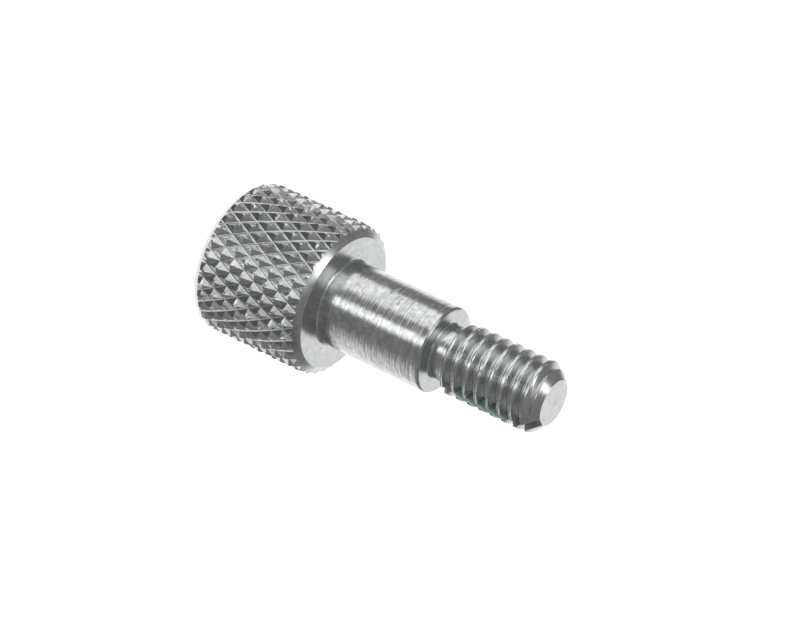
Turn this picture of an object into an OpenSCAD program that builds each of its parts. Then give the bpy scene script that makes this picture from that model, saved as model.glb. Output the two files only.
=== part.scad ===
// Knurled-head shoulder screw with a locking strip in its thread.
// It stands on its head: +Z runs along the axis from the head's flat top face to the screw's tip.
// Millimetres. The origin is the centre of the head's flat face.

/* [Head] */
// Diameter over the knurl's peaks
head_diameter = 17.2; // [15.5:0.1:20]
// Length of the head along the axis
head_length = 13.7; // [9:0.1:18]
// Radial drop of the chamfer at the free end
top_chamfer_drop = 1.05; // [0.8:0.05:1.5]
// Length of that chamfer along the axis
top_chamfer_length = 0.8; // [0.4:0.05:1.2]
// Diameter of the flat bearing face under the head
bearing_diameter = 14.84; // [13.2:0.02:15]
// Length along the axis of the chamfer round the bearing face
bearing_chamfer_length = 0.8; // [0.4:0.05:1]

/* [Knurl] */
// Number of diamonds round the head
knurl_count = 33; // [26:1:36]
// Depth of the knurl's grooves
knurl_depth = 0.48; // [0.3:0.02:0.55]
// Helix angle of the right-hand grooves, in degrees
knurl_angle_right = 24; // [22:1:34]
// Helix angle of the left-hand grooves, in degrees
knurl_angle_left = 30.2; // [26:0.2:34]
// Share of each diamond that is left as a flat on its peak
knurl_flat = 0.13; // [0.08:0.01:0.3]

/* [Shoulder] */
// Diameter of the ground shoulder
shoulder_diameter = 9.525; // [8.6:0.005:10]
// Length of the shoulder under the head
shoulder_length = 13.05; // [8:0.05:20]
// Radius where the shoulder meets the head
root_fillet = 0.3; // [0.2:0.05:0.5]
// Edge break at the shoulder's far end
shoulder_edge_break = 0.3; // [0.1:0.05:0.4]

/* [Thread] */
// Outside diameter of the thread
thread_diameter = 7.9; // [7.4:0.05:8.1]
// Pitch of the thread
thread_pitch = 1.411; // [1.25:0.001:1.5]
// Width of the flat on the thread's crest
crest_flat = 0.3; // [0.16:0.02:0.36]
// Distance from the shoulder's end to the screw's tip
thread_length = 13.49; // [11.4:0.01:18]
// Diameter of the relief behind the thread
neck_diameter = 6.05; // [5.4:0.05:6.1]
// Length of the relief at its full depth
neck_length = 1.25; // [0.9:0.05:1.6]
// Diameter of the flat face at the tip
tip_diameter = 5.02; // [4.6:0.02:5.6]

/* [Locking strip] */
// Width of the milled slot and of the strip in it
slot_width = 1.3; // [1:0.05:1.6]
// Distance from the axis to the slot's floor
slot_floor = 2.42; // [2.2:0.02:2.6]
// Length of the strip
strip_length = 6.1; // [5:0.1:7.2]
// Distance from the strip's end to the screw's tip
strip_tip_gap = 3.6; // [2:0.1:3.8]
// How far the strip's top lies below the thread's crests
strip_drop = 0.05; // [0:0.01:0.2]

/* [Hidden] */

// Heights along the axis
bearing_z = head_length;
shoulder_z = bearing_z + shoulder_length;
tip_z = shoulder_z + thread_length;

// Radii
knurl_r = head_diameter / 2;
groove_r = knurl_r - knurl_depth;
shoulder_r = shoulder_diameter / 2;
thread_r = thread_diameter / 2;
neck_r = neck_diameter / 2;
tip_r = tip_diameter / 2;

// Angles round the axis: where the slot lies, and where the knurl and the thread start.
// The run-in slope is the angle between the axis and the cone that starts the thread
slot_angle = -90;
knurl_phase = 183.65;
knurl_row_z = 1.094;
thread_phase = 109;
thread_lead_in = 1.81;
run_in_slope = 60;

// Knurl lattice: both families of grooves cross on rows that are knurl_row apart
knurl_mean_r = (knurl_r + groove_r) / 2;
knurl_row = knurl_mean_r * 2 * PI / knurl_count / (tan(knurl_angle_right) + tan(knurl_angle_left));
knurl_step = 360 / knurl_count;
knurl_back = knurl_step * tan(knurl_angle_left) / (tan(knurl_angle_right) + tan(knurl_angle_left));
row_first = floor(-knurl_row_z / knurl_row) - 1;
row_last = ceil((head_length - knurl_row_z) / knurl_row) + 1;
rows = row_last - row_first;

function polar(r, a, z) = [r * cos(a), r * sin(a), z];
function row_z(m) = knurl_row_z + (row_first + m) * knurl_row;
function row_a(m, j) = knurl_phase - (row_first + m) * knurl_back + j * knurl_step;
function cross_at(m, j) = m * knurl_count + (j + knurl_count) % knurl_count;
function peak_at(m, j, q) = (rows + 1) * knurl_count + (m * knurl_count + j) * 4 + q;
// The four corners of the diamond over crossing (m, j), as steps up the rows and round the head
corner_row = [0, 1, 2, 1];
corner_j = [0, 1, 1, 0];
function corner_a(m, j, q) = row_a(m + corner_row[q], j + corner_j[q]);
function centre_a(m, j) = (row_a(m, j) + row_a(m + 2, j + 1)) / 2;
function peak(m, j, q) = polar(knurl_r,
    centre_a(m, j) + knurl_flat * (corner_a(m, j, q) - centre_a(m, j)),
    row_z(m + 1) + knurl_flat * (row_z(m + corner_row[q]) - row_z(m + 1)));

knurl_points = concat(
    [for (m = [0:rows], j = [0:knurl_count - 1]) polar(groove_r, row_a(m, j), row_z(m))],
    [for (m = [0:rows - 2], j = [0:knurl_count - 1], q = [0:3]) peak(m, j, q)],
    [[0, 0, row_z(0) - 1], [0, 0, row_z(rows) + 1]]);
knurl_low = len(knurl_points) - 2;
knurl_high = len(knurl_points) - 1;
knurl_faces = concat(
    [for (m = [0:rows - 2], j = [0:knurl_count - 1], q = [0:3])
        let (n = (q + 1) % 4,
            c = cross_at(m + corner_row[q], j + corner_j[q]),
            d = cross_at(m + corner_row[n], j + corner_j[n]))
        each [[c, peak_at(m, j, q), d], [d, peak_at(m, j, q), peak_at(m, j, n)]]],
    [for (m = [0:rows - 2], j = [0:knurl_count - 1])
        each [[peak_at(m, j, 0), peak_at(m, j, 2), peak_at(m, j, 1)],
            [peak_at(m, j, 0), peak_at(m, j, 3), peak_at(m, j, 2)]]],
    [for (j = [0:knurl_count - 1])
        each [[knurl_low, cross_at(1, j), cross_at(0, j)], [knurl_low, cross_at(0, j), cross_at(1, j + 1)]]],
    [for (j = [0:knurl_count - 1])
        each [[knurl_high, cross_at(rows, j + 1), cross_at(rows - 1, j)],
            [knurl_high, cross_at(rows - 1, j + 1), cross_at(rows, j + 1)]]]);

// Thread: a 60 degree ridge wound right-handed, trimmed at both ends by the turned envelope
thread_segments = 36;
root_flat = thread_pitch / 8;
thread_depth = (thread_pitch - crest_flat - root_flat) / 2 / tan(30);
root_r = thread_r - thread_depth;
wind_start = -3 * thread_pitch;
turns = ceil((thread_length + thread_pitch - wind_start - thread_lead_in) / thread_pitch) + 1;
winds = turns * thread_segments;
// The ridge's corners, as radius and height from the middle of its crest
ridge = [[root_r, root_flat / 2 - thread_pitch / 2], [thread_r, -crest_flat / 2],
    [thread_r, crest_flat / 2], [root_r, thread_pitch / 2 - root_flat / 2]];

function wind(k, q) = polar(ridge[q][0], thread_phase + k * 360 / thread_segments,
    shoulder_z + thread_lead_in + wind_start + k * thread_pitch / thread_segments + ridge[q][1]);
function w(k, q) = k * 4 + q;
thread_points = concat(
    [for (k = [0:winds], q = [0:3]) wind(k, q)],
    [[0, 0, wind(0, 0)[2] - thread_pitch], [0, 0, wind(winds, 3)[2] + thread_pitch]]);
thread_low = len(thread_points) - 2;
thread_high = len(thread_points) - 1;
thread_faces = concat(
    [for (k = [0:winds - 1], q = [0:2])
        each [[w(k, q), w(k, q + 1), w(k + 1, q)], [w(k + 1, q), w(k, q + 1), w(k + 1, q + 1)]]],
    [for (k = [0:winds - thread_segments - 1])
        let (u = k + thread_segments)
        each [[w(k, 3), w(u, 0), w(k + 1, 3)], [w(k + 1, 3), w(u, 0), w(u + 1, 0)]]],
    [for (k = [0:thread_segments - 1]) [thread_low, w(k, 0), w(k + 1, 0)]],
    [[thread_low, w(thread_segments, 0), w(0, 3)]],
    [for (q = [0:2]) [thread_low, w(0, q + 1), w(0, q)]],
    [for (k = [winds - thread_segments:winds - 1]) [thread_high, w(k + 1, 3), w(k, 3)]],
    [for (q = [0:2]) [thread_high, w(winds, q), w(winds, q + 1)]],
    [[thread_high, w(winds - thread_segments, 3), w(winds, 0)]]);

// Slot: straight along the thread, open at the tip, with the cutter's own curve at its inner end
slot_lead_in = 3;
slot_start_z = shoulder_z + slot_lead_in;
cutter_r = 2;
strip_low_z = max(slot_start_z + 0.3, tip_z - strip_tip_gap - strip_length);

// The head's turned form, which trims the knurl's ends
module head_form() {
    rotate_extrude($fn = 144)
        polygon([[0, 0], [knurl_r - top_chamfer_drop, 0], [knurl_r, top_chamfer_length],
            [knurl_r + 0.5, top_chamfer_length + 0.5 * top_chamfer_length / top_chamfer_drop],
            [knurl_r + 0.5, bearing_z - bearing_chamfer_length
                - 0.5 * bearing_chamfer_length / (knurl_r - bearing_diameter / 2)],
            [bearing_diameter / 2, bearing_z], [0, bearing_z]]);
}

module head() {
    intersection() {
        polyhedron(points = knurl_points, faces = knurl_faces, convexity = 6);
        head_form();
    }
}

// Shoulder with its root fillet and edge break, reaching into the head below it
module shoulder() {
    rotate_extrude($fn = 96)
        difference() {
            polygon([[0, bearing_z - 3], [shoulder_r + root_fillet, bearing_z - 3],
                [shoulder_r + root_fillet, bearing_z], [shoulder_r + root_fillet, bearing_z + root_fillet],
                [shoulder_r, bearing_z + root_fillet],
                [shoulder_r, shoulder_z - shoulder_edge_break],
                [shoulder_r - shoulder_edge_break, shoulder_z], [0, shoulder_z]]);
            translate([shoulder_r + root_fillet, bearing_z + root_fillet])
                circle(r = root_fillet, $fn = 32);
        }
}

// The envelope that trims the thread: relief, run-in cone and tip cone
module thread_form() {
    clear_r = thread_r + 0.4;
    rotate_extrude($fn = 96)
        polygon([[0, shoulder_z - 1], [neck_r, shoulder_z - 1], [neck_r, shoulder_z + neck_length],
            [clear_r, shoulder_z + neck_length + (clear_r - neck_r) / tan(run_in_slope)],
            [clear_r, tip_z - (clear_r - tip_r)], [tip_r, tip_z], [0, tip_z]]);
}

module slot() {
    rotate([0, 0, slot_angle])
        translate([0, -slot_width / 2, 0]) {
            translate([slot_floor, 0, slot_start_z])
                cube([thread_r, slot_width, tip_z - slot_start_z + 1]);
            translate([slot_floor + cutter_r, 0, slot_start_z])
                rotate([-90, 0, 0])
                    cylinder(r = cutter_r, h = slot_width, $fn = 96);
        }
}

module threaded_end() {
    difference() {
        intersection() {
            polyhedron(points = thread_points, faces = thread_faces, convexity = 10);
            thread_form();
        }
        slot();
    }
}

module screw() {
    color([0.72, 0.73, 0.72])
        union() {
            head();
            shoulder();
            threaded_end();
        }
}

module locking_strip() {
    color([0.16, 0.42, 0.42])
        intersection() {
            rotate([0, 0, slot_angle])
                translate([slot_floor, -slot_width / 2, strip_low_z])
                    cube([thread_r, slot_width, tip_z - strip_tip_gap - strip_low_z]);
            translate([0, 0, shoulder_z])
                cylinder(r = thread_r - strip_drop, h = thread_length, $fn = 96);
        }
}

screw();
locking_strip();
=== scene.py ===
import math

import bmesh
import bpy
import numpy as np
from mathutils import Matrix, Vector


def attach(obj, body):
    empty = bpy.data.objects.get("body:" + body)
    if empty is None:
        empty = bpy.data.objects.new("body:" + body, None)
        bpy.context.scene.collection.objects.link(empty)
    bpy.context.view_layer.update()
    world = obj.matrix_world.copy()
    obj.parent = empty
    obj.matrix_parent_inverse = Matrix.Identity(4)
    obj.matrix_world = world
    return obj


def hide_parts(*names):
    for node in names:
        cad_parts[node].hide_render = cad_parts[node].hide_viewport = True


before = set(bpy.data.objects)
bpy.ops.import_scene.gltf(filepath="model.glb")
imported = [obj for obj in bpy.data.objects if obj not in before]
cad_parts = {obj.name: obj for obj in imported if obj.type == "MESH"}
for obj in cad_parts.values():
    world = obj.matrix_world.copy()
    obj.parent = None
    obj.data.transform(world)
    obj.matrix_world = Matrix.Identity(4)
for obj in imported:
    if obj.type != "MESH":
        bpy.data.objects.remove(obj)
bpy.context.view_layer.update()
MM = 0.001


# ---------------------------------------------------------------- camera
# A camera that gives the photo's view. Its focal length is a choice, which the photo doesn't settle,
# and its distance from the bearing face, in millimetres, follows from it.
FRAME_PX = (800, 640)
SENSOR_MM = 36.0
FOCAL_PX = 2500.0
AXIS_TO_VIEW = math.radians(62.98)   # between the screw's axis and the line of sight
AXIS_ROLL = math.radians(25.43)      # the axis falls to the right by this much in the picture
AIM_PX = (343.8, 302.8)              # where the middle of the bearing face lands
DISTANCE = 263.0
BEARING_Z = 13.7
SIDE = math.radians(-71.0)           # angle about Z of the side that is lowest in the picture


def place_camera():
    s, c = math.sin(AXIS_TO_VIEW), math.cos(AXIS_TO_VIEW)
    a = AXIS_ROLL
    axis = np.array([s * math.cos(a), s * math.sin(a), -c])
    low = np.array([-math.sin(a), math.cos(a), 0.0])
    away = np.cross(axis, low)
    seen = np.stack([low, away, axis], 1)
    real = np.stack([[math.cos(SIDE), math.sin(SIDE), 0],
                     [-math.sin(SIDE), math.cos(SIDE), 0],
                     [0, 0, 1]], 1)
    turn = real @ seen.T
    right, down = ((aim - size / 2) / FOCAL_PX for aim, size in zip(AIM_PX, FRAME_PX))
    point = np.array([right, down, 1.0]) * DISTANCE
    where = np.array([0, 0, BEARING_Z]) - turn @ point
    cam = bpy.data.cameras.new("camera")
    cam.sensor_width = SENSOR_MM
    cam.lens = SENSOR_MM * FOCAL_PX / FRAME_PX[0]
    cam.clip_start = 0.01
    cam.clip_end = 20.0
    ob = bpy.data.objects.new("camera", cam)
    bpy.context.scene.collection.objects.link(ob)
    m = np.eye(4)
    m[:3, 0], m[:3, 1], m[:3, 2] = turn[:, 0], -turn[:, 1], -turn[:, 2]
    m[:3, 3] = where * MM
    ob.matrix_world = Matrix(m.tolist())
    bpy.context.scene.camera = ob


place_camera()


# ---------------------------------------------------------------- node helpers
def new_material(name):
    m = bpy.data.materials.new(name)
    m.use_nodes = True
    nt = m.node_tree
    nt.nodes.clear()
    return m, nt


def node(nt, kind, **values):
    n = nt.nodes.new(kind)
    for k, v in values.items():
        if k.startswith("in_"):
            key = k[3:]
            n.inputs[int(key) if key.isdigit() else key.replace("_", " ")].default_value = v
        else:
            setattr(n, k, v)
    return n


def math_node(nt, op, a, b=0.0, c=None):
    n = node(nt, "ShaderNodeMath", operation=op)
    for i, v in enumerate((a, b) if c is None else (a, b, c)):
        if isinstance(v, (int, float)):
            n.inputs[i].default_value = v
        else:
            nt.links.new(v, n.inputs[i])
    return n.outputs[0]


def light_as_seen(nt, shown, lit):
    """One look to the camera, to gloss and through glass, and the plain surface to everything else."""
    path = node(nt, "ShaderNodeLightPath")
    either = math_node(nt, "MAXIMUM", path.outputs["Is Camera Ray"], path.outputs["Is Glossy Ray"])
    both = math_node(nt, "MAXIMUM", either, path.outputs["Is Transmission Ray"])
    mix = node(nt, "ShaderNodeMixShader")
    nt.links.new(both, mix.inputs[0])
    nt.links.new(lit, mix.inputs[1])
    nt.links.new(shown, mix.inputs[2])
    return mix.outputs[0]


# ---------------------------------------------------------------- stage
# In metres, and in strengths where 1 shows as white
STAGE_MID = 0.02
FLOOR_HALF = 1.5
FLOOR_COLOUR, FLOOR_GLOW = 0.9, 0.55
WORLD_SHOWN, WORLD_LIGHT = 1.0, 0.6
KEY_FROM, KEY_DISTANCE = (-115, 60), 0.5     # degrees round Z from SIDE, and above level
KEY_SIZE, KEY_WATTS = 0.25, 1.5


def mesh_object(name, verts, faces):
    me = bpy.data.meshes.new(name)
    me.from_pydata(verts, [], faces)
    me.update()
    ob = bpy.data.objects.new(name, me)
    bpy.context.scene.collection.objects.link(ob)
    return ob


def build_floor():
    """White to the eye. So bright that it hides nearly all of the screw's shadow."""
    r = FLOOR_HALF
    ob = mesh_object("floor", [(-r, -r, 0), (r, -r, 0), (r, r, 0), (-r, r, 0)], [(0, 1, 2, 3)])
    m, nt = new_material("floor_white")
    out = node(nt, "ShaderNodeOutputMaterial")
    d = node(nt, "ShaderNodeBsdfDiffuse", in_Color=(FLOOR_COLOUR, FLOOR_COLOUR, FLOOR_COLOUR, 1))
    e = node(nt, "ShaderNodeEmission", in_Color=(1, 1, 1, 1), in_Strength=FLOOR_GLOW)
    both = node(nt, "ShaderNodeAddShader")
    nt.links.new(d.outputs[0], both.inputs[0])
    nt.links.new(e.outputs[0], both.inputs[1])
    nt.links.new(light_as_seen(nt, both.outputs[0], d.outputs[0]), out.inputs[0])
    ob.data.materials.append(m)
    ob.visible_glossy = False


def build_world():
    """White to the eye, and a dimmer plain light on the object."""
    w = bpy.data.worlds.new("studio")
    bpy.context.scene.world = w
    w.use_nodes = True
    nt = w.node_tree
    nt.nodes.clear()
    out = node(nt, "ShaderNodeOutputWorld")
    shown = node(nt, "ShaderNodeBackground", in_Color=(1, 1, 1, 1), in_Strength=WORLD_SHOWN)
    lit = node(nt, "ShaderNodeBackground", in_Color=(1, 1, 1, 1), in_Strength=WORLD_LIGHT)
    nt.links.new(light_as_seen(nt, shown.outputs[0], lit.outputs[0]), out.inputs[0])


# What the metal reflects: a light tent with openings. Each panel has a direction (degrees round Z
# from SIDE, degrees above level), its half width and half height, the softness of its edge, and
# its brightness. A later panel lies over an earlier one. All of it is set against how bright each
# side is in the photo, and isn't the real lighting.
TENT_BASE = 0.24
PANELS = [
    ("shade_below", -100, -70, 60, 24, 0.4, 0.12),
    ("shade_high", 38, 58, 13, 22, 0.6, 0.10),
    ("side_glow", 34, -40, 38, 16, 1.0, 1.15),
    ("backdrop_low", 85, -38, 45, 32, 0.4, 1.2),
    ("backdrop_high", 88, 8, 29, 32, 0.45, 1.05),
    ("left_low", 156, -53, 22, 17, 0.5, 1.35),
    ("left", 209.5, -20, 25, 16, 0.4, 1.3),
    ("left_upper", 226, -12, 15, 12, 0.4, 1.35),
    ("left_high", 226, 28, 24, 11, 0.8, 1.35),
    ("front_low", -102, -9, 26, 7, 0.9, 1.3),
    ("front_strip", -87, -24.5, 10, 7.5, 0.9, 2.3),
    ("zenith_left", 145, 77, 8, 7, 1.0, 0.7),
    ("lamp", 206.5, 65.5, 12.5, 12.5, 0.25, 2.4),
    ("zenith", -120, 85, 9, 8, 1.0, 0.55),
]


def smooth(x):
    x = np.clip(x, 0, 1)
    return x * x * (3 - 2 * x)


def tent_level(alpha, elev):
    """The tent's brightness in a direction."""
    level = np.full(alpha.shape, TENT_BASE)
    for _, a0, e0, wa, we, soft, value in PANELS:
        da = (alpha - a0 + 180) % 360 - 180
        da = da * np.cos(np.radians(0.5 * (elev + e0)))
        q = ((np.abs(da) / wa) ** 3 + (np.abs(elev - e0) / we) ** 3) ** (1 / 3)
        mask = smooth((1 + soft / 2 - q) / soft)
        level = level + (value - level) * mask
    return level


def build_tent():
    """A dome all round the object, which only gloss sees. It stays just open at its two poles."""
    radius, n, rings, pole = 1.0, 240, 120, 89.9
    verts, faces, alpha, elev = [], [], [], []
    for k in range(rings + 1):
        e = math.radians(-pole + 2 * pole * k / rings)
        for i in range(n):
            a = 2 * math.pi * i / n
            verts.append((radius * math.cos(e) * math.cos(a), radius * math.cos(e) * math.sin(a),
                          STAGE_MID + radius * math.sin(e)))
            alpha.append(math.degrees(a - SIDE))
            elev.append(math.degrees(e))
    for k in range(rings):
        for i in range(n):
            j = (i + 1) % n
            faces.append((k * n + i, k * n + j, (k + 1) * n + j, (k + 1) * n + i))
    ob = mesh_object("tent", verts, faces)
    m, nt = new_material("tent_panels")
    out = node(nt, "ShaderNodeOutputMaterial")
    e = node(nt, "ShaderNodeEmission", in_Strength=1.0)
    at = node(nt, "ShaderNodeAttribute", attribute_name="level", attribute_type="GEOMETRY")
    nt.links.new(at.outputs["Color"], e.inputs["Color"])
    nt.links.new(e.outputs[0], out.inputs[0])
    layer = ob.data.color_attributes.new("level", "FLOAT_COLOR", "POINT")
    level = tent_level(np.array(alpha), np.array(elev))
    rgba = np.ones((len(level), 4), np.float32)
    rgba[:, :3] = level[:, None]
    layer.data.foreach_set("color", rgba.ravel())
    ob.data.materials.append(m)
    ob.visible_camera = False
    ob.visible_diffuse = False
    ob.visible_shadow = False
    ob.visible_transmission = False


def build_key_light():
    """One square lamp that lights the object, which gloss doesn't see."""
    li = bpy.data.lights.new("key", "AREA")
    li.shape = "RECTANGLE"
    li.size, li.size_y = KEY_SIZE, KEY_SIZE
    li.energy = KEY_WATTS
    a, e = SIDE + math.radians(KEY_FROM[0]), math.radians(KEY_FROM[1])
    where = Vector((KEY_DISTANCE * math.cos(e) * math.cos(a), KEY_DISTANCE * math.cos(e) * math.sin(a),
                    STAGE_MID + KEY_DISTANCE * math.sin(e)))
    ob = bpy.data.objects.new("key", li)
    ob.location = where
    ob.rotation_euler = (Vector((0, 0, STAGE_MID)) - where).to_track_quat("-Z", "Y").to_euler()
    ob.visible_glossy = False
    bpy.context.scene.collection.objects.link(ob)


build_floor()
build_world()
build_tent()
build_key_light()


# ---------------------------------------------------------------- sizes
# In millimetres, as in the part's source, apart from the relief's length, NECK_L, which is 1.25 there
HEAD_R, GROOVE_R, HEAD_L = 8.6, 8.12, 13.7
TOP_R, TOP_L = 7.55, 0.8
BEARING_R, BEARING_L = 7.42, 0.8
KNURLS, ROW_Z, KNURL_PHASE = 33, 1.094, 183.65
LEAN_RIGHT, LEAN_LEFT = math.tan(math.radians(24)), math.tan(math.radians(30.2))
STEP = 360 / KNURLS
BACK = STEP * LEAN_LEFT / (LEAN_RIGHT + LEAN_LEFT)
ROW = (HEAD_R + GROOVE_R) * math.pi / KNURLS / (LEAN_RIGHT + LEAN_LEFT)
SHOULDER_R, SHOULDER_Z = 4.7625, 26.75
FILLET, EDGE_BREAK = 0.3, 0.3
THREAD_R, PITCH, TIP_Z = 3.95, 1.411, 40.24
NECK_R, NECK_L, TIP_R = 3.025, 1.68, 2.51
NECK_FILLET = 0.24
CREST_FLAT, RUN_IN = 0.3, math.tan(math.radians(60))
THREAD_PHASE, LEAD_IN = 109.0, 1.81
SLOT_ANGLE, SLOT_W, SLOT_FLOOR, SLOT_Z, CUTTER_R = -90.0, 1.3, 2.42, 29.75, 2.0
STRIP_L, STRIP_GAP, STRIP_DROP = 6.1, 3.6, 0.05
# Knocks in the thread: height, degrees from SIDE, width and depth
DENTS = [(36.27, -97.5, 0.2, 0.09), (30.5, -97.0, 0.22, 0.1),
         (33.25, -84.0, 0.16, 0.06), (38.9, -70.0, 0.2, 0.05)]
# Fine turned rings on the shoulder: height and depth
RING_MARKS = [(15.93, 0.005), (25.8, 0.006)]
# The knurl's wear, in shares of its depth: each diamond's height, its peak, its peak near the head's
# ends, and its flanks. Peak, flank and end say where those begin.
DIAMOND_HEIGHT, PEAK_LOW, END_PEAK_LOW, PEAK_HIGH, FLANK_ROUGH = (0.93, 1.0), -0.15, -0.2, 0.03, 0.01
PEAK_FROM, FLANK_FROM, END_BAND = 0.81, 0.2, 0.3
# The crest's worn lips: each one's middle, how rough it is, and its seed
LIPS = ((-0.165, 0.4, 5), (0.135, 1.0, 15))
LIP_HALF, SEAM_RISE, CREST_SWAY, SWAY_HALF = 0.08, 0.03, 0.03, 0.25
WORN, WORN_FINE, TORN, TORN_FROM = 0.012, 0.016, 0.12, 0.55


def ripple(seed, count):
    """A smooth random line of values between -1 and 1 that closes on itself, over 0..1."""
    v = np.random.RandomState(seed).uniform(-1, 1, count)

    def at(x):
        x = np.mod(np.asarray(x, float), 1.0) * count
        i = np.floor(x).astype(int)
        f = x - i
        f = f * f * (3 - 2 * f)
        return v[i % count] * (1 - f) + v[(i + 1) % count] * f
    return at


class Skin:
    """Triangles on points, which can be cut along any line where a value is zero."""

    def __init__(self, pts, tris):
        self.pts = np.asarray(pts, float)
        self.tris = np.asarray(tris, int)

    def split(self, value, only=None):
        """Cuts the triangles that cross value(points) = 0. Returns each triangle's side, 1 or -1."""
        d = value(self.pts)
        d = np.where(np.abs(d) < 1e-6, 0.0, d)
        dt = d[self.tris]
        crosses = (dt.max(1) > 0) & (dt.min(1) < 0)
        if only is not None:
            crosses &= only
        pts, more, made = [], [], {}
        base = len(self.pts)

        def cut(i, j):
            key = (min(i, j), max(i, j))
            if key not in made:
                i, j = key
                t = d[i] / (d[i] - d[j])
                pts.append(self.pts[i] + (self.pts[j] - self.pts[i]) * t)
                made[key] = base + len(pts) - 1
            return made[key]

        for tri in self.tris[crosses]:
            above, below = [], []
            for k in range(3):
                i, j = int(tri[k]), int(tri[(k + 1) % 3])
                if d[i] >= 0:
                    above.append(i)
                if d[i] <= 0:
                    below.append(i)
                if d[i] * d[j] < 0:
                    c = cut(i, j)
                    above.append(c)
                    below.append(c)
            for poly in (above, below):
                more += [(poly[0], poly[k], poly[k + 1]) for k in range(1, len(poly) - 1)]
        if pts:
            self.pts = np.vstack([self.pts, np.array(pts)])
            d = np.concatenate([d, np.zeros(len(pts))])
        # A triangle that isn't cut itself still takes in the new points on its edges
        ends = np.zeros(base, bool)
        ends[np.array(list(made), int).reshape(-1)] = True
        beside = ~crosses & (ends[self.tris].sum(1) >= 2)
        for at in np.nonzero(beside)[0]:
            poly = []
            for k in range(3):
                i, j = int(self.tris[at][k]), int(self.tris[at][(k + 1) % 3])
                poly += [i] + ([made[(min(i, j), max(i, j))]] if (min(i, j), max(i, j)) in made else [])
            if len(poly) == 3:
                beside[at] = False
                continue
            first = next(k for k in range(len(poly)) if poly[k] >= base)
            poly = poly[first:] + poly[:first]
            more += [(poly[0], poly[k], poly[k + 1]) for k in range(1, len(poly) - 1)]
        self.tris = np.vstack([self.tris[~(crosses | beside)], np.array(more, int).reshape(-1, 3)])
        return np.where(d[self.tris].sum(1) >= 0, 1, -1)

    def keep(self, mask):
        self.tris = self.tris[mask]

    def weld(self, step=2e-5):
        """Merges points that lie together, and drops triangles without area."""
        key = np.round(self.pts / step).astype(np.int64)
        _, first, back = np.unique(key, axis=0, return_index=True, return_inverse=True)
        self.pts = self.pts[first]
        t = back.reshape(-1)[self.tris]
        self.tris = t[(t[:, 0] != t[:, 1]) & (t[:, 1] != t[:, 2]) & (t[:, 2] != t[:, 0])]
        used, t = np.unique(self.tris, return_inverse=True)
        self.pts, self.tris = self.pts[used], t.reshape(-1, 3)

    def rim(self, z):
        """The points on the open edge at a height, in order round the axis."""
        edge = np.sort(np.vstack([self.tris[:, [0, 1]], self.tris[:, [1, 2]], self.tris[:, [2, 0]]]), 1)
        pairs, count = np.unique(edge, axis=0, return_counts=True)
        ids = np.unique(pairs[count == 1])
        ids = ids[np.abs(self.pts[ids, 2] - z) < 1e-4]
        return ids[np.argsort(np.arctan2(self.pts[ids, 1], self.pts[ids, 0]))]

    def join(self, other):
        self.tris = np.vstack([self.tris, other.tris + len(self.pts)])
        self.pts = np.vstack([self.pts, other.pts])

    def zip(self, low, high):
        """Fills the band between two rings of points, each in order round the axis."""
        def angles(ids):
            a = np.arctan2(self.pts[ids, 1], self.pts[ids, 0])
            return np.concatenate([a, [a[0] + 2 * math.pi]])
        al, ah = angles(low), angles(high)
        new, i, j = [], 0, 0
        while i < len(low) or j < len(high):
            p, q = low[i % len(low)], high[j % len(high)]
            if j >= len(high) or (i < len(low) and al[i + 1] <= ah[j + 1]):
                new.append((p, low[(i + 1) % len(low)], q))
                i += 1
            else:
                new.append((p, high[(j + 1) % len(high)], q))
                j += 1
        self.tris = np.vstack([self.tris, np.array(new)])


def around(p):
    """Points given as height, angle and radius, as x, y and z."""
    return np.stack([p[:, 2] * np.cos(p[:, 1]), p[:, 2] * np.sin(p[:, 1]), p[:, 0]], -1)


def lathe(profile, count):
    """An open surface of rings through (radius, height) points."""
    a = -math.pi + 2 * math.pi * (np.arange(count) + 0.5) / count
    pts = np.vstack([np.stack([r * np.cos(a), r * np.sin(a), np.full(count, z)], -1) for r, z in profile])
    tris = []
    for k in range(len(profile) - 1):
        for i in range(count):
            j = (i + 1) % count
            p, q, u, v = k * count + i, k * count + j, (k + 1) * count + i, (k + 1) * count + j
            tris += [(p, q, v), (p, v, u)]
    return Skin(pts, tris)


def arc(cr, cz, r, a0, a1, n):
    """Points on a rounding of a lathe profile, from angle a0 to a1."""
    return [(cr + r * math.cos(math.radians(a)), cz + r * math.sin(math.radians(a)))
            for a in np.linspace(a0, a1, n)]


def slot_axes():
    """The level directions out through the slot, and across it."""
    side = np.array([math.cos(math.radians(SLOT_ANGLE)), math.sin(math.radians(SLOT_ANGLE))])
    return side, np.array([-side[1], side[0]])


# ---------------------------------------------------------------- knurl
def head_form(z):
    """The turned head's radius at a height."""
    low = TOP_R + (HEAD_R - TOP_R) * z / TOP_L
    high = BEARING_R + (HEAD_R - BEARING_R) * (HEAD_L - z) / BEARING_L
    return np.minimum(np.minimum(low, high), HEAD_R)


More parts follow.
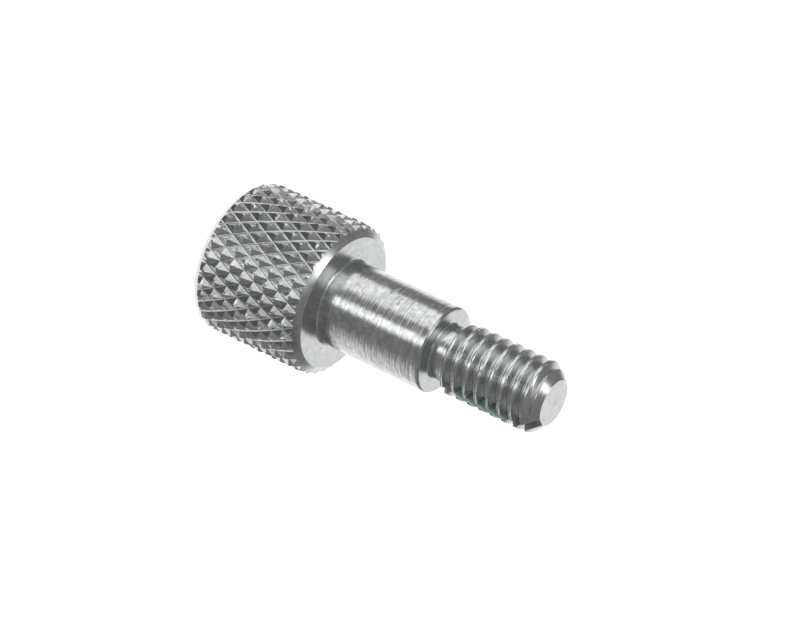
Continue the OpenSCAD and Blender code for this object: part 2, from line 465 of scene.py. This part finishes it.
def knurl():
    """Diamonds between two families of V grooves, with a narrow floor to each groove and a ragged peak.
    Also gives the heights where the grooves end."""
    grid = np.array([0, .02, .05, .09, .25, .41, .47, .53, .59, .75, .91, .95, .98, 1.0])
    n = len(grid)
    rng = np.random.RandomState(11)
    low_z = TOP_L * (GROOVE_R - TOP_R) / (HEAD_R - TOP_R)
    high_z = HEAD_L - BEARING_L * (GROOVE_R - BEARING_R) / (HEAD_R - BEARING_R)
    a, b = np.meshgrid(grid, grid, indexing="ij")
    f = 2 * np.minimum(np.minimum(a, 1 - a), np.minimum(b, 1 - b))
    half = n // 2
    quads = []
    for p in range(n - 1):
        for q in range(n - 1):
            v00 = p * n + q
            v01, v10, v11 = v00 + 1, v00 + n, v00 + n + 1
            if (p < half) == (q < half):
                quads += [(v00, v11, v10), (v00, v01, v11)]
            else:
                quads += [(v00, v01, v10), (v01, v11, v10)]
    quads = np.array(quads)
    pts, tris = [], []
    for m in range(-2, 9):
        z = ROW_Z + m * ROW + (a + b) * ROW
        if z.max() < low_z or z.min() > high_z:
            continue
        for j in range(KNURLS):
            ang = KNURL_PHASE - m * BACK + j * STEP - a * BACK + b * (STEP - BACK)
            rise = np.interp(f, [0, 0.04, 0.10, 0.82, 1], [0, 0, 0.035, 1, 1])
            top = f > PEAK_FROM
            near_end = min(z.min() - low_z, high_z - z.max()) < END_BAND
            lift = rise * rng.uniform(*DIAMOND_HEIGHT)
            lift = lift + top * rng.uniform(END_PEAK_LOW if near_end else PEAK_LOW, PEAK_HIGH, f.shape)
            inner = (f > FLANK_FROM) & ~top
            lift = lift + inner * rng.uniform(-FLANK_ROUGH, FLANK_ROUGH, f.shape)
            r = GROOVE_R + (HEAD_R - GROOVE_R) * np.clip(lift, 0, 1)
            tris.append(quads + len(pts) * n * n)
            pts.append(np.stack([z, np.radians(ang), r], -1).reshape(-1, 3))
    skin = Skin(np.vstack(pts), np.vstack(tris))
    skin.keep(skin.split(lambda p: p[:, 0] - low_z) > 0)
    skin.keep(skin.split(lambda p: high_z - p[:, 0]) > 0)
    skin.split(lambda p: head_form(p[:, 0]) - p[:, 2])
    skin.pts[:, 2] = np.minimum(skin.pts[:, 2], head_form(skin.pts[:, 0]))
    skin.pts = around(skin.pts)
    skin.weld()
    return skin, low_z, high_z


# ---------------------------------------------------------------- thread
def thread_form(z):
    """The radius that the thread is turned down to at a height: relief, run-in cone and tip cone."""
    return np.minimum(NECK_R + np.maximum(0, z - (SHOULDER_Z + NECK_L)) * RUN_IN, TIP_R + (TIP_Z - z))


def thread():
    """A 60 degree right-handed thread with knocked crests, out of its relief and into its tip cone."""
    depth = (PITCH - CREST_FLAT - PITCH / 8) / 2 * math.tan(math.radians(60))
    # The ridge in section, as distance from its middle and drop from its top: two lips with a shallow
    # seam between them, the flanks, and the rounded root
    toward_head = [(0.05, 0.036), (0.11, 0.022), (0.155, 0.0), (0.185, 0.006), (0.21, 0.05), (0.25, 0.13),
                   (0.33, 0.28), (0.43, 0.46), (0.52, 0.63)]
    toward_tip = [(0.05, 0.036), (0.09, 0.02), (0.125, 0.0), (0.15, 0.008), (0.175, 0.045), (0.21, 0.104),
                  (0.29, 0.243), (0.40, 0.433), (0.51, 0.624)]
    down = PITCH / 2 - PITCH / 16
    root = [(down - 0.045, depth - 0.062), (down - 0.012, depth - 0.026), (down + 0.03, depth - 0.006),
            (down + 0.06, depth)]
    prof = [(-d, h) for d, h in reversed(toward_head + root)] + [(0.0, 0.04)] + toward_tip + root
    n, width = 104, len(prof)
    start = -3 * PITCH
    turns = int(math.ceil((TIP_Z - SHOULDER_Z + PITCH - start - LEAD_IN) / PITCH)) + 1
    k = np.arange(turns * n + 1)
    dz, drop = np.array(prof).T
    z = (SHOULDER_Z + LEAD_IN + start + k * PITCH / n)[:, None] + dz[None, :]
    wind = k / n / turns
    seam = np.clip(1 - np.abs(dz) / LIP_HALF, 0, 1)
    pressed = 0.5 + 0.5 * ripple(25, 30 * turns)(wind)
    r = THREAD_R - drop[None, :] + SEAM_RISE * seam[None, :] * pressed[:, None]
    for middle, rough, seed in LIPS:
        lip = np.clip(1 - np.abs(dz - middle) / LIP_HALF, 0, 1)
        worn = WORN * (ripple(seed, 50 * turns)(wind) + 1)
        worn = worn + WORN_FINE * (ripple(seed + 1, 190 * turns)(wind) + 1)
        torn = TORN * np.clip(ripple(seed + 2, 16 * turns)(wind) - TORN_FROM, 0, 1)
        r = r - rough * lip[None, :] * (worn + torn)[:, None]
    clear = np.clip(z - SHOULDER_Z - 0.6, 0, 1) * np.clip(TIP_Z - 0.6 - z, 0, 1)
    sway = CREST_SWAY * np.clip(1 - np.abs(dz) / SWAY_HALF, 0, 1)[None, :]
    z = z + sway * ripple(28, 60 * turns)(wind)[:, None] * clear
    a = math.radians(THREAD_PHASE) + np.broadcast_to((2 * math.pi * k / n)[:, None], z.shape)
    for dent_z, dent_t, wide, deep in DENTS:
        away = THREAD_R * ((a - SIDE - math.radians(dent_t) + math.pi) % (2 * math.pi) - math.pi)
        r = r - deep * np.exp(-((z - dent_z) ** 2 + away ** 2) / wide ** 2)
    tris = []
    for i in range(len(k) - 1):
        v = i * width + np.arange(width - 1)
        tris.append(np.stack([v, v + width + 1, v + 1], -1))
        tris.append(np.stack([v, v + width, v + width + 1], -1))
        if i + 1 + n < len(k):
            v, w = i * width + width - 1, (i + n) * width
            tris.append(np.array([(v, w + width, w), (v, v + width, w + width)]))
    skin = Skin(around(np.stack([z, a, r], -1).reshape(-1, 3)), np.vstack(tris))
    skin.keep(skin.split(lambda p: p[:, 2] - SHOULDER_Z - NECK_FILLET) > 0)
    skin.keep(skin.split(lambda p: TIP_Z - p[:, 2]) > 0)
    skin.split(lambda p: thread_form(p[:, 2]) - np.hypot(p[:, 0], p[:, 1]))
    r = np.hypot(skin.pts[:, 0], skin.pts[:, 1])
    skin.pts[:, :2] *= (np.minimum(r, thread_form(skin.pts[:, 2])) / r)[:, None]
    skin.weld()
    return skin


def slot_bottom(z):
    """How far from the axis the slot's floor lies at a height."""
    d = np.clip(SLOT_Z - z, 0, CUTTER_R - 0.01)
    return SLOT_FLOOR + CUTTER_R - np.sqrt(CUTTER_R ** 2 - d ** 2)


def mill_slot(skin):
    """Drops what lies inside the slot to its floor, and stands the slot's two walls."""
    side, across = slot_axes()

    def deep(p):
        return p[:, :2] @ side

    def near():
        p = skin.pts[skin.tris]
        height = p[..., 2]
        past_shoulder = (height.min(1) > SHOULDER_Z - 1e-3) & (height.max(1) > SHOULDER_Z + 1e-3)
        by_slot = ((p @ np.append(side, 0)).min(1) > 1.5) & (np.abs(p @ np.append(across, 0)).min(1) < SLOT_W)
        return past_shoulder & by_slot

    for sign in (1, -1):
        skin.split(lambda p: SLOT_W / 2 - sign * (p[:, :2] @ across), near())
    skin.split(lambda p: deep(p) - slot_bottom(p[:, 2]), near())
    middle = skin.pts[skin.tris].mean(1)
    between_walls = np.abs(middle[:, :2] @ across) < SLOT_W / 2
    inside = near() & between_walls & (deep(middle) > slot_bottom(middle[:, 2]))
    moved = skin.pts.copy()
    drop = np.maximum(deep(moved) - slot_bottom(moved[:, 2]), 0)
    moved[:, :2] -= drop[:, None] * side
    base = len(skin.pts)

    def edges(mask):
        t = skin.tris[mask].tolist()
        return {tuple(sorted(e)) for a, b, c in t for e in ((a, b), (b, c), (c, a))}

    walls = []
    for i, j in edges(inside) & edges(~inside):
        walls += [(i, j, j + base), (i, j + base, i + base)]
    skin.tris = np.vstack([skin.tris[~inside], skin.tris[inside] + base, np.array(walls)])
    skin.pts = np.vstack([skin.pts, moved])
    skin.weld()


# ---------------------------------------------------------------- the whole screw
RINGS = 192


def add_lathe(skin, profile):
    """Joins a turned surface to the skin, and gives its first and last rings of points."""
    first = len(skin.pts)
    skin.join(lathe(profile, RINGS))
    return [first + k * RINGS + np.arange(RINGS) for k in (0, len(profile) - 1)]


def build_screw():
    """Head, shoulder and thread as one closed skin, with the slot milled last."""
    skin, low_z, high_z = knurl()
    flat = [(0.05, 0.0)] + [(r, 0.0) for r in (1.5, 3.0, 4.5, 6.0, 7.2)]
    flat += arc(TOP_R - 0.065, 0.085, 0.085, -90, -38, 5)
    rims = [skin.rim(low_z), skin.rim(high_z)]
    ring = add_lathe(skin, flat)
    skin.zip(ring[1], rims[0])
    centre = len(skin.pts)
    skin.pts = np.vstack([skin.pts, [[0, 0, 0]]])
    fan = [(centre, ring[0][(i + 1) % RINGS], ring[0][i]) for i in range(RINGS)]
    skin.tris = np.vstack([skin.tris, fan])

    root_r = SHOULDER_R + FILLET
    middle = arc(BEARING_R - 0.06, HEAD_L - 0.07, 0.07, 34, 90, 5)
    middle += [(r, HEAD_L) for r in (6.6, 5.8)]
    middle += [(root_r, HEAD_L)] + arc(root_r, HEAD_L + FILLET, FILLET, -90, -180, 9)[1:]
    levels = [(z, 0.0) for z in np.linspace(HEAD_L + FILLET + 0.4, SHOULDER_Z - EDGE_BREAK - 0.3, 14)]
    for z, deep in RING_MARKS:
        levels = [p for p in levels if abs(p[0] - z) > 0.2]
        levels += [(z - 0.1, 0.0), (z - 0.03, deep), (z + 0.02, deep), (z + 0.07, 0.0)]
    middle += [(SHOULDER_R - deep, z) for z, deep in sorted(levels)]
    middle += arc(SHOULDER_R - EDGE_BREAK, SHOULDER_Z - EDGE_BREAK, EDGE_BREAK, 0, 90, 7)
    middle += [(3.8, SHOULDER_Z)]
    middle += arc(NECK_R + NECK_FILLET, SHOULDER_Z + NECK_FILLET, NECK_FILLET, -90, -165, 6)
    ring = add_lathe(skin, middle)
    skin.zip(rims[1], ring[0])
    top_ring = ring[1]

    screw_end = thread()
    first = len(skin.pts)
    rims = [first + screw_end.rim(SHOULDER_Z + NECK_FILLET), first + screw_end.rim(TIP_Z)]
    skin.join(screw_end)
    skin.zip(top_ring, rims[0])
    mark_r, mark_depth = 0.34, 0.035
    tip = [(r, TIP_Z) for r in (2.35, 1.6, 0.8, mark_r)] + [(mark_r * 0.55, TIP_Z - mark_depth * 0.7)]
    ring = add_lathe(skin, tip)
    skin.zip(rims[1], ring[0])
    centre = len(skin.pts)
    skin.pts = np.vstack([skin.pts, [[0, 0, TIP_Z - mark_depth]]])
    fan = [(ring[1][i], ring[1][(i + 1) % RINGS], centre) for i in range(RINGS)]
    skin.tris = np.vstack([skin.tris, fan])
    skin.weld()
    mill_slot(skin)
    return skin


def finish_mesh(name, skin, sharp_angle):
    """Makes the object, with its faces turned outward and its edges sharp from an angle up."""
    me = bpy.data.meshes.new(name)
    me.from_pydata((skin.pts * MM).tolist(), [], skin.tris.tolist())
    bm = bmesh.new()
    bm.from_mesh(me)
    bmesh.ops.recalc_face_normals(bm, faces=bm.faces)
    if bm.calc_volume(signed=True) < 0:
        bmesh.ops.reverse_faces(bm, faces=bm.faces)
    bm.to_mesh(me)
    bm.free()
    me.shade_smooth()
    me.set_sharp_from_angle(angle=math.radians(sharp_angle))
    ob = bpy.data.objects.new(name, me)
    bpy.context.scene.collection.objects.link(ob)
    return ob


screw = finish_mesh("screw_turned", build_screw(), 28)


# ---------------------------------------------------------------- strip
def build_strip():
    """The nylon strip: a long block whose top swells a little between the thread's crests."""
    z1 = TIP_Z - STRIP_GAP
    z0 = z1 - STRIP_L
    side, across = slot_axes()
    us, ws = np.linspace(-1, 1, 15), np.linspace(0, 1, 101)
    waves = ripple(21, 29)
    first = SHOULDER_Z + LEAD_IN + PITCH * (SLOT_ANGLE - THREAD_PHASE) / 360

    def point(u, w, h):
        z = z0 + (z1 - z0) * w
        turn = ((z - first) / PITCH) % 1.0
        swell = 0.5 - 0.5 * math.cos(2 * math.pi * turn)
        x = u * SLOT_W / 2
        edge = 0.06 * max(abs(u) - 0.72, 0) / 0.28
        ends = 0.05 * (max(0.03 - w, 0) + max(w - 0.97, 0)) / 0.03
        top = math.sqrt((THREAD_R - STRIP_DROP) ** 2 - x * x) - edge - ends
        top = top - 0.045 * (1 - swell) + 0.008 * waves(w) - 0.008
        y = SLOT_FLOOR + (top - SLOT_FLOOR) * h
        return np.array([across[0] * x + side[0] * y, across[1] * x + side[1] * y, z])

    pts, tris = [], []

    def sheet(f, nu, nv):
        base = len(pts)
        for i in range(nu):
            for j in range(nv):
                pts.append(f(i, j))
        for i in range(nu - 1):
            for j in range(nv - 1):
                p = base + i * nv + j
                tris.extend([(p, p + 1, p + nv + 1), (p, p + nv + 1, p + nv)])

    hs = np.linspace(0, 1, 6)
    for h in (0, 1):
        sheet(lambda i, j: point(us[i], ws[j], h), len(us), len(ws))
    for u in (-1, 1):
        sheet(lambda i, j: point(u, ws[j], hs[i]), len(hs), len(ws))
    for w in (0, 1):
        sheet(lambda i, j: point(us[j], w, hs[i]), len(hs), len(us))
    skin = Skin(np.array(pts), np.array(tris))
    skin.weld()
    return skin


strip = finish_mesh("strip_nylon", build_strip(), 50)


# ---------------------------------------------------------------- materials
SCRATCH_DEPTH, PIT_DEPTH = 0.035, 0.05
# The near-black colour painted into the pits: painted shade in their hollows
PIT_SHADE_COLOUR = (0.1, 0.1, 0.1, 1)
STEEL_COLOURS = ((0.56, 0.585, 0.58), (0.68, 0.69, 0.68))
NYLON_COLOURS = ((0.075, 0.13, 0.132), (0.145, 0.24, 0.24))


def lathe_coords(nt, along, round_count):
    """Coordinates for marks that run round the axis: one value along the profile, two for where round it."""
    tc = node(nt, "ShaderNodeTexCoord")
    mm = node(nt, "ShaderNodeVectorMath", operation="SCALE")
    nt.links.new(tc.outputs["Object"], mm.inputs[0])
    mm.inputs["Scale"].default_value = 1000.0
    xyz = node(nt, "ShaderNodeSeparateXYZ")
    nt.links.new(mm.outputs[0], xyz.inputs[0])
    flat = node(nt, "ShaderNodeCombineXYZ")
    nt.links.new(xyz.outputs[0], flat.inputs[0])
    nt.links.new(xyz.outputs[1], flat.inputs[1])
    length = node(nt, "ShaderNodeVectorMath", operation="LENGTH")
    nt.links.new(flat.outputs[0], length.inputs[0])
    unit = node(nt, "ShaderNodeVectorMath", operation="NORMALIZE")
    nt.links.new(flat.outputs[0], unit.inputs[0])
    parts = node(nt, "ShaderNodeSeparateXYZ")
    nt.links.new(unit.outputs[0], parts.inputs[0])
    w = math_node(nt, "MULTIPLY_ADD", length.outputs["Value"], -0.9, xyz.outputs[2])
    out = node(nt, "ShaderNodeCombineXYZ")
    nt.links.new(math_node(nt, "MULTIPLY", w, along), out.inputs[0])
    nt.links.new(math_node(nt, "MULTIPLY", parts.outputs[0], round_count), out.inputs[1])
    nt.links.new(math_node(nt, "MULTIPLY", parts.outputs[1], round_count), out.inputs[2])
    return out.outputs[0], mm.outputs[0]


def noise(nt, coords, scale, detail=3.0, roughness=0.5):
    n = node(nt, "ShaderNodeTexNoise", in_Scale=scale, in_Detail=detail, in_Roughness=roughness)
    nt.links.new(coords, n.inputs["Vector"])
    return n.outputs["Fac"]


def bump(nt, height, depth_mm, normal=None):
    b = node(nt, "ShaderNodeBump", in_Strength=1.0, in_Distance=depth_mm * MM)
    nt.links.new(height, b.inputs["Height"])
    if normal is not None:
        nt.links.new(normal, b.inputs["Normal"])
    return b.outputs[0]


def ramp(nt, value, low, high, to_low, to_high):
    r = node(nt, "ShaderNodeMapRange")
    r.inputs["From Min"].default_value, r.inputs["From Max"].default_value = low, high
    r.inputs["To Min"].default_value, r.inputs["To Max"].default_value = to_low, to_high
    nt.links.new(value, r.inputs["Value"])
    return r.outputs[0]


def tint(nt, value, dark, light):
    m = node(nt, "ShaderNodeMix", data_type="RGBA")
    nt.links.new(value, m.inputs["Factor"])
    m.inputs["A"].default_value = (*dark, 1)
    m.inputs["B"].default_value = (*light, 1)
    return m.outputs["Result"]


def joined(nt, values):
    """The greatest of the values."""
    out = values[0]
    for v in values[1:]:
        out = math_node(nt, "MAXIMUM", out, v)
    return out


def scratch(nt, mm, a, b, wide):
    """1 on the line from a to b, falling to 0 at its width."""
    a, ab = Vector(a), Vector(b) - Vector(a)
    rel = node(nt, "ShaderNodeVectorMath", operation="SUBTRACT")
    nt.links.new(mm, rel.inputs[0])
    rel.inputs[1].default_value = a
    dot = node(nt, "ShaderNodeVectorMath", operation="DOT_PRODUCT")
    nt.links.new(rel.outputs[0], dot.inputs[0])
    dot.inputs[1].default_value = ab / max(ab.length_squared, 1e-9)
    on = node(nt, "ShaderNodeVectorMath", operation="SCALE")
    on.inputs[0].default_value = ab
    nt.links.new(ramp(nt, dot.outputs["Value"], 0, 1, 0, 1), on.inputs["Scale"])
    far = node(nt, "ShaderNodeVectorMath", operation="DISTANCE")
    nt.links.new(rel.outputs[0], far.inputs[0])
    nt.links.new(on.outputs[0], far.inputs[1])
    return ramp(nt, far.outputs["Value"], 0, wide, 1, 0)


def steel(name, rough, marks, chatter, grain, anisotropic=0.0, scratches=(), pits=(),
          colour=STEEL_COLOURS, beat=(9.0, 5.0, 2.6, 3.0)):
    """Turned steel. Marks, chatter and grain are depths in millimetres. The beat is how often marks,
    and then chatter, come along the profile and round it."""
    m, nt = new_material(name)
    out = node(nt, "ShaderNodeOutputMaterial")
    b = node(nt, "ShaderNodeBsdfPrincipled", in_Metallic=1.0)
    fine, mm = lathe_coords(nt, *beat[:2])
    wide, _ = lathe_coords(nt, *beat[2:])
    n_fine = noise(nt, fine, 1.0, 4.0, 0.6)
    n_wide = noise(nt, wide, 1.0, 2.0, 0.5)
    n_grain = noise(nt, mm, 7.0, 4.0, 0.6)
    n_patch = noise(nt, mm, 0.6, 3.0, 0.5)
    # The chatter's colour comes and goes in patches
    patches = ramp(nt, noise(nt, mm, 1.7, 2.0, 0.5), 0.35, 0.65, 0.15, 1.0)
    bars = math_node(nt, "MULTIPLY", n_wide, patches)
    normal = bump(nt, n_fine, marks)
    normal = bump(nt, n_wide, chatter, normal=normal)
    normal = bump(nt, n_grain, grain, normal=normal)
    shade = math_node(nt, "MULTIPLY_ADD", bars, 1.6, math_node(nt, "SUBTRACT", n_patch, 0.5))
    look = tint(nt, shade, *colour)
    if scratches:
        lines = joined(nt, [scratch(nt, mm, *s) for s in scratches])
        normal = bump(nt, lines, -SCRATCH_DEPTH, normal=normal)
    if pits:
        holes = joined(nt, [scratch(nt, mm, p, p, wide) for p, wide in pits])
        normal = bump(nt, holes, -PIT_DEPTH, normal=normal)
        # Painted shade: the pits' hollows are darkened in the colour, on top of their bump
        dark = node(nt, "ShaderNodeMix", data_type="RGBA")
        nt.links.new(holes, dark.inputs["Factor"])
        nt.links.new(look, dark.inputs["A"])
        dark.inputs["B"].default_value = PIT_SHADE_COLOUR
        look = dark.outputs["Result"]
    nt.links.new(normal, b.inputs["Normal"])
    nt.links.new(look, b.inputs["Base Color"])
    nt.links.new(ramp(nt, n_fine, 0.3, 0.7, rough * 0.8, rough * 1.25), b.inputs["Roughness"])
    if anisotropic:
        b.inputs["Anisotropic"].default_value = anisotropic
        b.inputs["Anisotropic Rotation"].default_value = 0.25
        t = node(nt, "ShaderNodeTangent", direction_type="RADIAL", axis="Z")
        nt.links.new(t.outputs[0], b.inputs["Tangent"])
    nt.links.new(b.outputs[0], out.inputs[0])
    return m


def nylon():
    m, nt = new_material("nylon_teal")
    out = node(nt, "ShaderNodeOutputMaterial")
    b = node(nt, "ShaderNodeBsdfPrincipled")
    _, mm = lathe_coords(nt, 1.0, 1.0)
    n = noise(nt, mm, 5.0, 3.0, 0.5)
    nt.links.new(tint(nt, n, *NYLON_COLOURS), b.inputs["Base Color"])
    nt.links.new(ramp(nt, n, 0.3, 0.7, 0.25, 0.42), b.inputs["Roughness"])
    nt.links.new(bump(nt, n, 0.03), b.inputs["Normal"])
    nt.links.new(b.outputs[0], out.inputs[0])
    return m


def at(r, t, z):
    """A place by its radius, its angle from SIDE in degrees, and its height, in millimetres."""
    a = SIDE + math.radians(t)
    return (r * math.cos(a), r * math.sin(a), z)


# Seven strokes and six nicks in the shoulder: degrees from SIDE and height of each end, and width
SHOULDER_MARKS = [
    (-144, 20.49, -135.9, 20.22, 0.09),
    (-135.9, 20.22, -128.3, 20.15, 0.09),
    (-129, 21.73, -118.6, 21.68, 0.08),
    (-132.8, 22.95, -118.2, 22.98, 0.07),
    (-109.3, 25.82, -100.2, 25.78, 0.06),
    (-78.6, 19.45, -76.0, 19.6, 0.06),
    (-76.0, 19.6, -75.6, 19.8, 0.06),
    (-95.7, 18.95, -95.0, 19.0, 0.09),
    (-78.6, 15.6, -77.6, 15.62, 0.09),
    (-144.6, 15.84, -143.6, 15.86, 0.1),
    (-108.5, 15.9, -107.5, 15.92, 0.07),
    (-79.5, 15.95, -78.5, 15.97, 0.07),
    (-68.5, 20.05, -67.5, 20.07, 0.07),
]
SCRATCHES = [(at(SHOULDER_R, t0, z0), at(SHOULDER_R, t1, z1), wide)
             for t0, z0, t1, z1, wide in SHOULDER_MARKS]
# Pits in the bearing face, painted near black as painted shade in their hollows: place and width
PITS = [(at(5.38, -162.9, HEAD_L), 0.1), (at(5.27, -179.6, HEAD_L), 0.07), (at(5.36, -3.1, HEAD_L), 0.1),
        (at(6.53, -5.4, HEAD_L), 0.06), (at(7.3, -106.2, HEAD_L), 0.1)]
MATERIALS = {
    "knurl": steel("steel_knurled", 0.22, 0.003, 0.003, 0.0035),
    "faced": steel("steel_faced", 0.22, 0.02, 0.02, 0.004, pits=PITS, beat=(4.5, 2.0, 1.6, 1.5)),
    "ground": steel("steel_ground", 0.19, 0.006, 0.03, 0.003, scratches=SCRATCHES, anisotropic=0.3,
                    colour=((0.48, 0.50, 0.495), (0.72, 0.73, 0.725)), beat=(11.0, 2.5, 4.4, 1.6)),
    "thread": steel("steel_threaded", 0.24, 0.003, 0.008, 0.0035),
    "milled": steel("steel_milled", 0.42, 0.004, 0.006, 0.008),
}


def paint_screw(ob):
    """Gives each face the steel that its place on the screw was made with."""
    names = list(MATERIALS)
    for k in names:
        ob.data.materials.append(MATERIALS[k])
    for poly in ob.data.polygons:
        x, y, z = (c / MM for c in poly.center)
        r = math.hypot(x, y)
        if z < HEAD_L - 0.02 and r > head_form(np.array(z)) - 1e-3 and (z < TOP_L or z > HEAD_L - BEARING_L):
            k = "faced"
        elif 0.05 < z < HEAD_L - 0.05 and r > BEARING_R:
            k = "knurl"
        elif z < HEAD_L + 0.02 or z > TIP_Z - 0.15 or abs(z - SHOULDER_Z) < 0.02:
            k = "faced"
        elif abs(x) < SLOT_W / 2 + 1e-3 and -y > SLOT_FLOOR - 1e-3 and z > SLOT_Z - CUTTER_R \
                and -y < slot_bottom(z) + 1.2 and abs(poly.normal.z) < 0.9:
            k = "milled"
        elif z < SHOULDER_Z + NECK_L * 0.9:
            k = "ground"
        else:
            k = "thread"
        poly.material_index = names.index(k)


paint_screw(screw)
strip.data.materials.append(nylon())

for piece, cad_node, slot in ((screw, "screw", "steel"), (strip, "locking_strip", "nylon")):
    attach(piece, "root")
    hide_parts(cad_node)

bpy.context.scene.view_settings.view_transform = "Standard"
